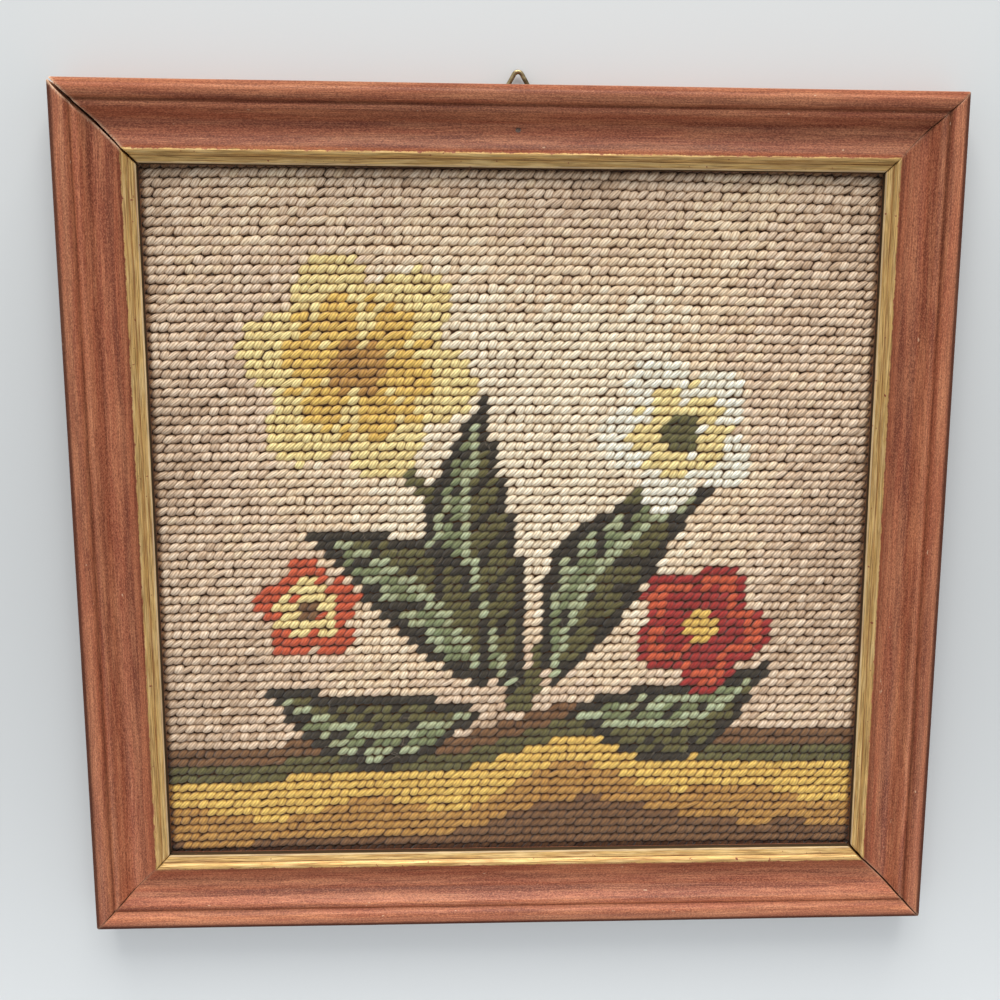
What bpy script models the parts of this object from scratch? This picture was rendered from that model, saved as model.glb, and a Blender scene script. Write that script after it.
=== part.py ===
"""Framed needlepoint picture, lying on its back with its stitched face up.

Four mitred lengths of one wooden moulding hold a stitched canvas in their rebate.
A plain board closes the back, and a triangular wire loop in a folded strap hangs it.
Lengths are in metres. +Z is up, out of the picture, and +Y points to the picture's top.
"""

import math

import bmesh
import bpy
from mathutils import Matrix, Vector

MM = 0.001
COLLECTION_NAME = "framed_needlepoint_picture"
CUTTER_COLLECTION_NAME = "cutters"
SEAT_GAP = 0.3 * MM

# Outside of the frame
FRAME_WIDTH = 300.0 * MM
FRAME_HEIGHT = 292.3 * MM
RAIL_WIDTH = 25.6 * MM

# Moulding section: insets run inwards from the outer edge, heights rise from the back
BEAD_RADIUS = 3.3 * MM
BEAD_SPRING_HEIGHT = 12.9 * MM
BEAD_STEPS = 9
QUIRK_INSET = 6.45 * MM
QUIRK_HEIGHT = 13.35 * MM
SHOULDER_RADIUS = 1.6 * MM
SHOULDER_INSET = 7.6 * MM
SHOULDER_CENTRE_HEIGHT = 12.0 * MM
SLOPE_TILT = 36.0
COVE_RADIUS = 3.0 * MM
COVE_INSET = 13.6 * MM
COVE_FLOOR_HEIGHT = 8.3 * MM
SCOOP_RADIUS = 12.5 * MM
SCOOP_SWEEP = 32.0
GILT_BEAD_RADIUS = 1.05 * MM
GILT_BEAD_INSET = 21.75 * MM
GILT_BEAD_CENTRE_HEIGHT = 10.45 * MM
GILT_GROOVE_INSET = 23.3 * MM
GILT_GROOVE_HEIGHT = 10.0 * MM
LIP_INSET = 23.55 * MM
LIP_HEIGHT = 10.2 * MM
LIP_EDGE_HEIGHT = 9.35 * MM
SIGHT_ARRIS_RADIUS = 0.5 * MM

# Rebate that holds the canvas and the board
REBATE_WIDTH = 6.0 * MM
REBATE_DEPTH = 6.2 * MM

# Open width of each mitre: at the frame's outer corner, and at the sight corner
MITRE_GAPS = {
    "bottom_left": (0.3 * MM, 0.3 * MM),
    "bottom_right": (0.35 * MM, 0.8 * MM),
    "top_right": (0.3 * MM, 0.3 * MM),
    "top_left": (1.1 * MM, 0.6 * MM),
}

# Rails in order round the frame: quarter turns, and the corners they start and end at
RAILS = {
    "rail_bottom": (0, "bottom_left", "bottom_right"),
    "rail_right": (1, "bottom_right", "top_right"),
    "rail_top": (2, "top_right", "top_left"),
    "rail_left": (3, "top_left", "bottom_left"),
}

# Stitched canvas
CANVAS_THICKNESS = 2.4 * MM
CANVAS_SWELL = 0.6 * MM
CANVAS_RIPPLE = 0.12 * MM
CANVAS_CELLS = 24

# Backing board
BOARD_THICKNESS = 2.5 * MM
BOARD_ARRIS = 0.4 * MM

# Hanger: a wire loop held by the eye of a folded strap, in a pocket in the top rail's back
HANGER_X = 0.6 * MM
WIRE_RADIUS = 0.75 * MM
LOOP_CORNER_RADIUS = 1.5 * MM
LOOP_REACH = 7.0 * MM
LOOP_BAR_INSET = 5.5 * MM
LOOP_CORNER_STEPS = 7
STRAP_THICKNESS = 0.8 * MM
STRAP_WIDTH = 9.0 * MM
STRAP_LENGTH = 12.0 * MM
STRAP_CURL = 265.0
STRAP_CURL_STEPS = 14
POCKET_WIDTH = 21.0 * MM
POCKET_DEPTH = 4.3 * MM
POCKET_LENGTH = 18.2 * MM

# Screw through the strap
SCREW_INSET = 13.4 * MM
SCREW_SHANK_RADIUS = 0.9 * MM
SCREW_SHANK_LENGTH = 6.0 * MM
SCREW_HEAD_RADIUS = 2.3 * MM
SCREW_HEAD_HEIGHT = 1.2 * MM
SCREW_SLOT_WIDTH = 0.6 * MM
SCREW_SLOT_DEPTH = 0.5 * MM
SCREW_STEPS = 20

# The origin is under the middle of the whole footprint, loop included
FRAME_CENTRE_Y = -LOOP_REACH / 2

# Heights of the layers in the rebate
CANVAS_TOP = REBATE_DEPTH - SEAT_GAP
CANVAS_BOTTOM = CANVAS_TOP - CANVAS_THICKNESS
BOARD_TOP = CANVAS_BOTTOM - SEAT_GAP

# The strap's eye turns round the wire with a seat gap between them
EYE_RADIUS = WIRE_RADIUS + SEAT_GAP + STRAP_THICKNESS / 2
EYE_HEIGHT = POCKET_DEPTH - SEAT_GAP - STRAP_THICKNESS / 2 - EYE_RADIUS
TOP_EDGE_Y = FRAME_CENTRE_Y + FRAME_HEIGHT / 2


def clear_scene():
    for item in list(bpy.data.objects):
        bpy.data.objects.remove(item)


def new_collection(name):
    collection = bpy.data.collections.new(name)
    bpy.context.scene.collection.children.link(collection)
    return collection


def new_material(name, colour, roughness, metallic=0.0):
    material = bpy.data.materials.new(name)
    material.use_nodes = True
    shader = material.node_tree.nodes["Principled BSDF"]
    shader.inputs["Base Color"].default_value = (*colour, 1.0)
    shader.inputs["Roughness"].default_value = roughness
    shader.inputs["Metallic"].default_value = metallic
    material.diffuse_color = (*colour, 1.0)
    return material


def add_object(name, data, collection, material=None):
    item = bpy.data.objects.new(name, data)
    collection.objects.link(item)
    if material:
        item.data.materials.append(material)
    return item


def mesh_from_bmesh(name, bm):
    bmesh.ops.recalc_face_normals(bm, faces=bm.faces)
    mesh = bpy.data.meshes.new(name)
    bm.to_mesh(mesh)
    bm.free()
    return mesh


def shade_smooth(mesh, angle_degrees):
    mesh.shade_smooth()
    mesh.set_sharp_from_angle(angle=math.radians(angle_degrees))


def make_cutter(name, mesh, collection):
    cutter = add_object(name, mesh, collection)
    cutter.display_type = "WIRE"
    cutter.hide_render = True
    return cutter


def cut(item, cutter):
    modifier = item.modifiers.new("cut " + cutter.name, "BOOLEAN")
    modifier.operation = "DIFFERENCE"
    modifier.solver = "EXACT"
    modifier.object = cutter


def box_mesh(name, low, high):
    bm = bmesh.new()
    size = [h - l for l, h in zip(low, high)]
    centre = [(l + h) / 2 for l, h in zip(low, high)]
    place = Matrix.Translation(centre) @ Matrix.Diagonal((*size, 1.0))
    bmesh.ops.create_cube(bm, size=1.0, matrix=place)
    return mesh_from_bmesh(name, bm)


def arc(centre_x, centre_y, radius, start_degrees, end_degrees, steps):
    """Points along a circular arc, both ends included."""
    points = []
    for step in range(steps + 1):
        angle = math.radians(start_degrees + (end_degrees - start_degrees) * step / steps)
        points.append((centre_x + radius * math.cos(angle), centre_y + radius * math.sin(angle)))
    return points


# Frame


def moulding_section():
    """Closed outline of the moulding: (inset, height), from the back's outer corner."""
    bead = arc(BEAD_RADIUS, BEAD_SPRING_HEIGHT, BEAD_RADIUS, 180, 40, BEAD_STEPS)
    shoulder = arc(SHOULDER_INSET, SHOULDER_CENTRE_HEIGHT, SHOULDER_RADIUS, 118, SLOPE_TILT, 6)
    cove_centre = COVE_FLOOR_HEIGHT + COVE_RADIUS
    cove = arc(COVE_INSET, cove_centre, COVE_RADIUS, 180 + SLOPE_TILT, 270, 6)
    scoop_centre = COVE_FLOOR_HEIGHT + SCOOP_RADIUS
    scoop = arc(COVE_INSET, scoop_centre, SCOOP_RADIUS, 270, 270 + SCOOP_SWEEP, 6)[1:]
    gilt_bead = arc(GILT_BEAD_INSET, GILT_BEAD_CENTRE_HEIGHT, GILT_BEAD_RADIUS, 150, 35, 6)
    arris_inset = RAIL_WIDTH - SIGHT_ARRIS_RADIUS
    arris = arc(arris_inset, LIP_EDGE_HEIGHT - SIGHT_ARRIS_RADIUS, SIGHT_ARRIS_RADIUS, 80, 0, 3)
    rebate_inset = RAIL_WIDTH - REBATE_WIDTH
    return (
        [(0.0, 0.0)]
        + bead
        + [(QUIRK_INSET, QUIRK_HEIGHT)]
        + shoulder
        + cove
        + scoop
        + gilt_bead
        + [(GILT_GROOVE_INSET, GILT_GROOVE_HEIGHT), (LIP_INSET, LIP_HEIGHT)]
        + arris
        + [(RAIL_WIDTH, REBATE_DEPTH), (rebate_inset, REBATE_DEPTH), (rebate_inset, 0.0)]
    )


def cut_mitre(bm, half_length, side, gaps):
    """Cuts one end along its mitre. side is -1 or +1 along the rail, gaps (outer, inner)."""
    half_gaps = [gap / 2 * math.sqrt(2) for gap in gaps]
    outer = Vector((side * (half_length - half_gaps[0]), 0.0, 0.0))
    inner = Vector((side * (half_length - RAIL_WIDTH - half_gaps[1]), RAIL_WIDTH, 0.0))
    along = inner - outer
    normal = Vector((side * along.y, -side * along.x, 0.0)).normalized()
    geometry = bm.verts[:] + bm.edges[:] + bm.faces[:]
    result = bmesh.ops.bisect_plane(
        bm, geom=geometry, dist=1e-7, plane_co=outer, plane_no=normal, clear_outer=True
    )
    rim = [part for part in result["geom_cut"] if isinstance(part, bmesh.types.BMEdge)]
    bmesh.ops.edgeloop_fill(bm, edges=rim)


def rail_mesh(name, half_length, start_gaps, end_gaps):
    """A length of moulding along X, its outer edge on the X axis, mitred at both ends."""
    bm = bmesh.new()
    outline = [bm.verts.new((-half_length, inset, height)) for inset, height in moulding_section()]
    end_face = bm.faces.new(outline)
    swept = bmesh.ops.extrude_face_region(bm, geom=[end_face], use_keep_orig=True)
    moved = [part for part in swept["geom"] if isinstance(part, bmesh.types.BMVert)]
    bmesh.ops.translate(bm, verts=moved, vec=(2 * half_length, 0.0, 0.0))
    cut_mitre(bm, half_length, -1, start_gaps)
    cut_mitre(bm, half_length, 1, end_gaps)
    mesh = mesh_from_bmesh(name, bm)
    shade_smooth(mesh, 32)
    return mesh


def build_rails(collection):
    rails = {}
    for name, (turns, start, end) in RAILS.items():
        lies_flat = turns % 2 == 0
        length, across = (FRAME_WIDTH, FRAME_HEIGHT) if lies_flat else (FRAME_HEIGHT, FRAME_WIDTH)
        wood = new_material(name + "_stained_wood", (0.30, 0.115, 0.068), 0.42)
        mesh = rail_mesh(name, length / 2, MITRE_GAPS[start], MITRE_GAPS[end])
        rail = add_object(name, mesh, collection, wood)
        turn = Matrix.Rotation(math.radians(90 * turns), 4, "Z")
        edge = turn @ Vector((0.0, -across / 2, 0.0))
        rail.rotation_euler = (0.0, 0.0, math.radians(90 * turns))
        rail.location = edge + Vector((0.0, FRAME_CENTRE_Y, 0.0))
        rails[name] = rail
    return rails


# What lies in the rebate


def rebate_half_sizes():
    """Half width and half height of a sheet that lies in the rebate with a seat gap round it."""
    inset = RAIL_WIDTH - REBATE_WIDTH + SEAT_GAP
    return FRAME_WIDTH / 2 - inset, FRAME_HEIGHT / 2 - inset


def build_needlepoint(collection):
    """One stitched sheet: flat under the lip, a little swollen and uneven in the open."""
    half_width, half_height = rebate_half_sizes()
    margin = REBATE_WIDTH
    bm = bmesh.new()
    bmesh.ops.create_grid(bm, x_segments=CANVAS_CELLS, y_segments=CANVAS_CELLS, size=1.0)
    for vert in bm.verts:
        x, y = vert.co.x * half_width, vert.co.y * half_height
        inside = min(half_width - abs(x), half_height - abs(y)) - margin
        rise = max(0.0, min(1.0, inside / (4 * margin)))
        swell = CANVAS_SWELL * rise * rise * (3 - 2 * rise)
        ripple = math.sin(x * 41.0 + 0.7) * math.sin(y * 53.0 + 1.9)
        vert.co = (x, y, CANVAS_TOP + swell + CANVAS_RIPPLE * ripple * rise)
    mesh = mesh_from_bmesh("needlepoint", bm)
    shade_smooth(mesh, 40)
    wool = new_material("needlepoint_wool", (0.52, 0.43, 0.35), 0.9)
    sheet = add_object("needlepoint", mesh, collection, wool)
    sheet.location = (0.0, FRAME_CENTRE_Y, 0.0)
    thickness = sheet.modifiers.new("thickness", "SOLIDIFY")
    thickness.thickness = CANVAS_THICKNESS
    thickness.offset = -1.0


def build_backing_board(collection):
    half_width, half_height = rebate_half_sizes()
    low = (-half_width, -half_height, BOARD_TOP - BOARD_THICKNESS)
    high = (half_width, half_height, BOARD_TOP)
    fibreboard = new_material("backing_fibreboard", (0.27, 0.18, 0.11), 0.85)
    board = add_object("backing_board", box_mesh("backing_board", low, high), collection, fibreboard)
    board.location = (0.0, FRAME_CENTRE_Y, 0.0)
    arris = board.modifiers.new("arris", "BEVEL")
    arris.width = BOARD_ARRIS
    arris.segments = 1
    arris.limit_method = "ANGLE"


# Hanger


def loop_points():
    """Centre line of the wire: an equal-sided triangle with round corners, one of them at its top."""
    apex_y = TOP_EDGE_Y + LOOP_REACH - WIRE_RADIUS
    bar_y = TOP_EDGE_Y - LOOP_BAR_INSET
    sharp_height = apex_y - bar_y + LOOP_CORNER_RADIUS
    corner_spread = (sharp_height - 3 * LOOP_CORNER_RADIUS) / math.sqrt(3)
    top_centre = (HANGER_X, apex_y - LOOP_CORNER_RADIUS)
    left_centre = (HANGER_X - corner_spread, bar_y + LOOP_CORNER_RADIUS)
    right_centre = (HANGER_X + corner_spread, bar_y + LOOP_CORNER_RADIUS)
    points = []
    for (x, y), start in ((top_centre, 30), (left_centre, 150), (right_centre, 270)):
        points += arc(x, y, LOOP_CORNER_RADIUS, start, start + 120, LOOP_CORNER_STEPS)
    return points


def build_hanger_loop(collection):
    points = loop_points()
    curve = bpy.data.curves.new("hanger_loop", "CURVE")
    curve.dimensions = "3D"
    curve.bevel_depth = WIRE_RADIUS
    curve.bevel_resolution = 2
    spline = curve.splines.new("POLY")
    spline.points.add(len(points) - 1)
    for point, (x, y) in zip(spline.points, points):
        point.co = (x, y, EYE_HEIGHT, 1.0)
    spline.use_cyclic_u = True
    brass = new_material("hanger_loop_brass", (0.30, 0.22, 0.10), 0.38, 1.0)
    add_object("hanger_loop", curve, collection, brass)


def strap_path():
    """Side view of the strap's middle line, (y, z): the tail, then the eye curled round the wire."""
    eye_y = TOP_EDGE_Y - LOOP_BAR_INSET
    tail = (eye_y - STRAP_LENGTH, EYE_HEIGHT + EYE_RADIUS)
    return [tail] + arc(eye_y, EYE_HEIGHT, EYE_RADIUS, 90, 90 - STRAP_CURL, STRAP_CURL_STEPS)


def build_hanger_strap(collection):
    bm = bmesh.new()
    left = [bm.verts.new((HANGER_X - STRAP_WIDTH / 2, y, z)) for y, z in strap_path()]
    edges = [bm.edges.new(pair) for pair in zip(left, left[1:])]
    swept = bmesh.ops.extrude_edge_only(bm, edges=edges)
    moved = [part for part in swept["geom"] if isinstance(part, bmesh.types.BMVert)]
    bmesh.ops.translate(bm, verts=moved, vec=(STRAP_WIDTH, 0.0, 0.0))
    mesh = mesh_from_bmesh("hanger_strap", bm)
    shade_smooth(mesh, 30)
    brass = new_material("hanger_strap_brass", (0.32, 0.24, 0.11), 0.42, 1.0)
    strap = add_object("hanger_strap", mesh, collection, brass)
    thickness = strap.modifiers.new("thickness", "SOLIDIFY")
    thickness.thickness = STRAP_THICKNESS
    thickness.offset = 0.0
    return strap


def screw_seat_height():
    """Underside of the strap's tail, where the screw head sits."""
    return EYE_HEIGHT + EYE_RADIUS - STRAP_THICKNESS / 2


def build_hanger_screw(collection, cutters):
    """A round-headed slotted screw, head down, turned from one profile."""
    head_top = -SEAT_GAP
    dome = []
    for step in range(6):
        angle = math.radians(90 * step / 5)
        x, z = SCREW_HEAD_RADIUS * math.cos(angle), SCREW_HEAD_HEIGHT * math.sin(angle)
        dome.append((x, head_top - z))
    shank_end = SCREW_SHANK_LENGTH - SCREW_SHANK_RADIUS
    profile = [(0.0, SCREW_SHANK_LENGTH), (SCREW_SHANK_RADIUS, shank_end)]
    profile += [(SCREW_SHANK_RADIUS, head_top)] + dome[:-1] + [(0.0, head_top - SCREW_HEAD_HEIGHT)]
    bm = bmesh.new()
    verts = [bm.verts.new((x, 0.0, z)) for x, z in profile]
    for pair in zip(verts, verts[1:]):
        bm.edges.new(pair)
    mesh = bpy.data.meshes.new("hanger_screw")
    bm.to_mesh(mesh)
    bm.free()
    steel = new_material("hanger_screw_steel", (0.42, 0.40, 0.37), 0.4, 1.0)
    screw = add_object("hanger_screw", mesh, collection, steel)
    place = Vector((HANGER_X, TOP_EDGE_Y - SCREW_INSET, screw_seat_height()))
    screw.location = place
    turned = screw.modifiers.new("turned", "SCREW")
    turned.steps = SCREW_STEPS
    turned.render_steps = SCREW_STEPS
    turned.use_merge_vertices = True
    turned.merge_threshold = 0.00001
    turned.use_smooth_shade = True

    slot_top = place.z + head_top - SCREW_HEAD_HEIGHT + SCREW_SLOT_DEPTH
    reach = SCREW_HEAD_RADIUS + SEAT_GAP
    low = (place.x - reach, place.y - SCREW_SLOT_WIDTH / 2, slot_top - SCREW_HEAD_HEIGHT)
    high = (place.x + reach, place.y + SCREW_SLOT_WIDTH / 2, slot_top)
    slot = make_cutter("screw_slot_cutter", box_mesh("screw_slot_cutter", low, high), cutters)
    cut(screw, slot)
    return place


def build_hanger_cuts(rail_top, strap, screw_place, cutters):
    """The pocket in the rail's back, and the screw's hole through the strap and into the wood."""
    low = (HANGER_X - POCKET_WIDTH / 2, TOP_EDGE_Y - POCKET_LENGTH, -POCKET_DEPTH)
    high = (HANGER_X + POCKET_WIDTH / 2, TOP_EDGE_Y + POCKET_DEPTH, POCKET_DEPTH)
    pocket = make_cutter("pocket_cutter", box_mesh("pocket_cutter", low, high), cutters)
    cut(rail_top, pocket)

    hole_low = screw_place.z - STRAP_THICKNESS
    hole_high = screw_place.z + SCREW_SHANK_LENGTH + SEAT_GAP
    bm = bmesh.new()
    bmesh.ops.create_cone(
        bm,
        cap_ends=True,
        segments=SCREW_STEPS,
        radius1=SCREW_SHANK_RADIUS + SEAT_GAP,
        radius2=SCREW_SHANK_RADIUS + SEAT_GAP,
        depth=hole_high - hole_low,
        matrix=Matrix.Translation((screw_place.x, screw_place.y, (hole_low + hole_high) / 2)),
    )
    hole = make_cutter("screw_hole_cutter", mesh_from_bmesh("screw_hole_cutter", bm), cutters)
    cut(rail_top, hole)
    cut(strap, hole)


def main():
    clear_scene()
    picture = new_collection(COLLECTION_NAME)
    cutters = new_collection(CUTTER_COLLECTION_NAME)
    rails = build_rails(picture)
    build_needlepoint(picture)
    build_backing_board(picture)
    build_hanger_loop(picture)
    strap = build_hanger_strap(picture)
    screw_place = build_hanger_screw(picture, cutters)
    build_hanger_cuts(rails["rail_top"], strap, screw_place, cutters)


main()
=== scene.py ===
import math
import bpy
import numpy as np
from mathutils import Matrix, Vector


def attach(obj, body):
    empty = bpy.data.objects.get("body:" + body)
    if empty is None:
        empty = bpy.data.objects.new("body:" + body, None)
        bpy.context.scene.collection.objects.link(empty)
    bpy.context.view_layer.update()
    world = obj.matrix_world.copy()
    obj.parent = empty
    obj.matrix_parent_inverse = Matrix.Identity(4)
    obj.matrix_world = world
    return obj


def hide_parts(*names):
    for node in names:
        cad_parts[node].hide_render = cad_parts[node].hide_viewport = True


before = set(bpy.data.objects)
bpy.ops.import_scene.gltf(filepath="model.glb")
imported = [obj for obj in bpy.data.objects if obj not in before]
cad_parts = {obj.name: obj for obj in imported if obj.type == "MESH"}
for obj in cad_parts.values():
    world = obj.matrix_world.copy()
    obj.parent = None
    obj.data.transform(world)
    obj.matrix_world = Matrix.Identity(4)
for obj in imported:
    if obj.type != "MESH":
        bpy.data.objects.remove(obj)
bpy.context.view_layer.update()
scene = bpy.context.scene
mm = 0.001
print("frame loaded:", len(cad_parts), "nodes")

# Camera, over the picture and a little below its middle

cameraValues = {
    "place": (-0.0071, 0.0614, 0.3873),
    "turn": (-8.90, -2.45, 0.37),  # degrees
    "lens": 39.6,
    "sensor": 36.0,
    "shift": (-0.0426, 0.0096),  # the framing is off the view's axis
}


def makeCamera(values):
    data = bpy.data.cameras.new("camera")
    data.lens = values["lens"]
    data.sensor_width = values["sensor"]
    data.shift_x, data.shift_y = values["shift"]
    data.clip_start = 0.01
    data.clip_end = 50.0
    camera = bpy.data.objects.new("camera", data)
    scene.collection.objects.link(camera)
    camera.location = values["place"]
    camera.rotation_euler = [math.radians(angle) for angle in values["turn"]]
    scene.camera = camera


makeCamera(cameraValues)
scene.view_settings.view_transform = "Standard"
print("camera placed")


# Mesh helpers


def buildMesh(name, points, faces, smoothAngle=None):
    # points is (n, 3) in metres; faces is a list of index arrays, one array for each count of corners
    mesh = bpy.data.meshes.new(name)
    mesh.vertices.add(len(points))
    mesh.vertices.foreach_set("co", np.ascontiguousarray(points, np.float32).ravel())
    corners = np.concatenate([group.ravel() for group in faces])
    totals = np.concatenate([np.full(len(group), group.shape[1]) for group in faces])
    starts = np.concatenate([[0], np.cumsum(totals)[:-1]])
    mesh.loops.add(len(corners))
    mesh.loops.foreach_set("vertex_index", corners.astype(np.int32))
    mesh.polygons.add(len(totals))
    mesh.polygons.foreach_set("loop_start", starts.astype(np.int32))
    mesh.update(calc_edges=True)
    mesh.validate()
    mesh.shade_smooth()
    if smoothAngle:
        mesh.set_sharp_from_angle(angle=math.radians(smoothAngle))
    return mesh


def addPiece(name, mesh, material):
    piece = bpy.data.objects.new(name, mesh)
    scene.collection.objects.link(piece)
    mesh.materials.clear()
    mesh.materials.append(material)
    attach(piece, "root")
    return piece


def pointAttribute(mesh, name, values):
    # a float or a vector for each point
    kind = "FLOAT_VECTOR" if values.ndim == 2 else "FLOAT"
    field = "vector" if values.ndim == 2 else "value"
    layer = mesh.attributes.new(name, kind, "POINT")
    layer.data.foreach_set(field, np.ascontiguousarray(values, np.float32).ravel())


def meshPoints(mesh):
    points = np.empty(len(mesh.vertices) * 3, np.float32)
    mesh.vertices.foreach_get("co", points)
    return points.reshape(-1, 3).astype(float)


def ringFaces(rings, sides):
    # quads between neighbouring rings of a closed tube, facing outwards for rings that run anticlockwise
    ring, side = np.meshgrid(np.arange(rings - 1), np.arange(sides), indexing="ij")
    here = ring * sides + side
    beside = ring * sides + (side + 1) % sides
    return np.stack([here, beside, beside + sides, here + sides], -1).reshape(-1, 4)


def smoothStep(value):
    # 0 up to 0 and 1 from 1, with a cubic ease between them
    value = np.clip(value, 0.0, 1.0)
    return value * value * (3 - 2 * value)


def between(value, limits):
    # the same ease between two limits
    return smoothStep((value - limits[0]) / (limits[1] - limits[0]))


# Material helpers


def linearColour(red, green, blue):
    # a screen colour, 0 to 255, as linear light
    colour = np.array([red, green, blue]) / 255
    light = np.where(colour <= 0.04045, colour / 12.92, ((colour + 0.055) / 1.055) ** 2.4)
    return (*light, 1.0)


def feed(tree, socket, value):
    # another node's output becomes a link, and anything else the socket's own value
    if isinstance(value, bpy.types.NodeSocket):
        tree.links.new(value, socket)
    else:
        socket.default_value = value


def addNode(tree, kind, inputs=None, **settings):
    # inputs gives a value or another node's output for each socket, by name or number
    node = tree.nodes.new("ShaderNode" + kind)
    for key, value in settings.items():
        setattr(node, key, value)
    for key, value in (inputs or {}).items():
        feed(tree, node.inputs[key], value)
    return node


def maths(tree, operation, *values):
    return addNode(tree, "Math", dict(enumerate(values)), operation=operation).outputs[0]


def blend(tree, mask, first, second, how="MIX"):
    node = addNode(tree, "Mix", {0: mask, 6: first, 7: second}, data_type="RGBA", blend_type=how)
    return node.outputs[2]


def tint(tree, base, mask, strength, colour):
    # the colour laid over the base where the mask is, at the strength given
    return blend(tree, maths(tree, "MULTIPLY", mask, strength), base, colour)


def mixValue(tree, mask, first, second):
    return addNode(tree, "Mix", {0: mask, 2: first, 3: second}, data_type="FLOAT").outputs[0]


def remap(tree, value, fromLow, fromHigh, toLow=0.0, toHigh=1.0):
    limits = {"From Min": fromLow, "From Max": fromHigh, "To Min": toLow, "To Max": toHigh}
    return addNode(tree, "MapRange", {"Value": value, **limits}).outputs["Result"]


def stretched(tree, vector, factors):
    node = addNode(tree, "VectorMath", {0: vector, 1: factors}, operation="MULTIPLY")
    return node.outputs[0]


def noise(tree, vector, scale, detail=3.0, roughness=0.55):
    # a scale of three numbers stretches the pattern along the three axes
    if isinstance(scale, tuple):
        vector = stretched(tree, vector, scale)
        scale = 1.0
    inputs = {"Vector": vector, "Scale": scale, "Detail": detail, "Roughness": roughness}
    return addNode(tree, "TexNoise", inputs).outputs["Fac"]


def newMaterial(name, roughness, constants=None):
    material = bpy.data.materials.new(name)
    material.use_nodes = True
    tree = material.node_tree
    shader = tree.nodes["Principled BSDF"]
    for key, value in {"Roughness": roughness, **(constants or {})}.items():
        shader.inputs[key].default_value = value
    return material, tree, shader


def addBump(tree, shader, strength, distance, height):
    bump = addNode(tree, "Bump", {"Strength": strength, "Distance": distance, "Height": height})
    tree.links.new(bump.outputs[0], shader.inputs["Normal"])


def twoTone(tree, shader, share, values):
    # from the dark to the light colour of a piece's values
    dark, light = linearColour(*values["dark"]), linearColour(*values["light"])
    tree.links.new(blend(tree, share, dark, light), shader.inputs["Base Color"])


def newGroup(name, inputs, outputs):
    # inputs and outputs map a socket's name to its kind, or to a pair of its kind and its value
    tree = bpy.data.node_groups.new(name, "ShaderNodeTree")
    for direction, sockets in (("INPUT", inputs), ("OUTPUT", outputs)):
        for key, kind in sockets.items():
            kind, value = kind if isinstance(kind, tuple) else (kind, None)
            socket = tree.interface.new_socket(key, in_out=direction, socket_type="NodeSocket" + kind)
            if value is not None:
                socket.default_value = value
    source = tree.nodes.new("NodeGroupInput")
    target = tree.nodes.new("NodeGroupOutput")
    return tree, source.outputs, target.inputs


def placeGroup(tree, group, inputs):
    return addNode(tree, "Group", inputs, node_tree=group).outputs


# Shared effects


def makeGrainGroup():
    # wood sawn along the first axis, each effect a noise stretched along it: broad bands, streaks, short
    # pores, long soft patches and a fine grain; Vector is in millimetres, and Wander bends the bands
    tree, given, wanted = newGroup(
        "woodGrain",
        {"Vector": "Vector", "Wander": ("Float", 1.0)},
        {"Bands": "Float", "Streaks": "Float", "Pores": "Float", "Mottle": "Float", "Fine": "Float"},
    )
    drift = noise(tree, given["Vector"], (0.012, 0.05, 0.05), 2.0)
    shift = maths(tree, "MULTIPLY", maths(tree, "SUBTRACT", drift, 0.5), given["Wander"])
    offset = addNode(tree, "CombineXYZ", {"Y": maths(tree, "MULTIPLY", shift, 6.0), "Z": shift}).outputs[0]
    moved = addNode(tree, "VectorMath", {0: given["Vector"], 1: offset}, operation="ADD").outputs[0]
    pores = noise(tree, moved, (0.55, 5.5, 5.5), 2.0, 0.5)
    effects = {
        "Bands": noise(tree, moved, (0.010, 0.33, 0.33), 3.0, 0.5),
        "Streaks": noise(tree, moved, (0.05, 3.6, 3.6), 4.0, 0.62),
        "Pores": remap(tree, pores, 0.62, 0.74),
        "Mottle": noise(tree, given["Vector"], (0.022, 0.30, 0.30), 3.0, 0.6),
        "Fine": noise(tree, given["Vector"], (1.5, 3.4, 3.4), 2.0, 0.6),
    }
    for key, value in effects.items():
        tree.links.new(value, wanted[key])
    return tree


def makeSpeckGroup():
    # small scattered marks: a noise kept only where it passes a level; Vector is in millimetres
    tree, given, wanted = newGroup(
        "specks",
        {"Vector": "Vector", "Size": ("Float", 1.0), "Level": ("Float", 0.7), "Edge": ("Float", 0.03)},
        {"Mask": "Float"},
    )
    scale = maths(tree, "DIVIDE", 1.0, given["Size"])
    field = noise(tree, given["Vector"], scale, 2.5)
    high = maths(tree, "ADD", given["Level"], given["Edge"])
    tree.links.new(remap(tree, field, given["Level"], high), wanted["Mask"])
    return tree


grainGroup = makeGrainGroup()
speckGroup = makeSpeckGroup()


def specks(tree, vector, size, level, edge):
    inputs = {"Vector": vector, "Size": size, "Level": level, "Edge": edge}
    return placeGroup(tree, speckGroup, inputs)["Mask"]


# Frame: four mitred lengths of one moulding

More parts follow.
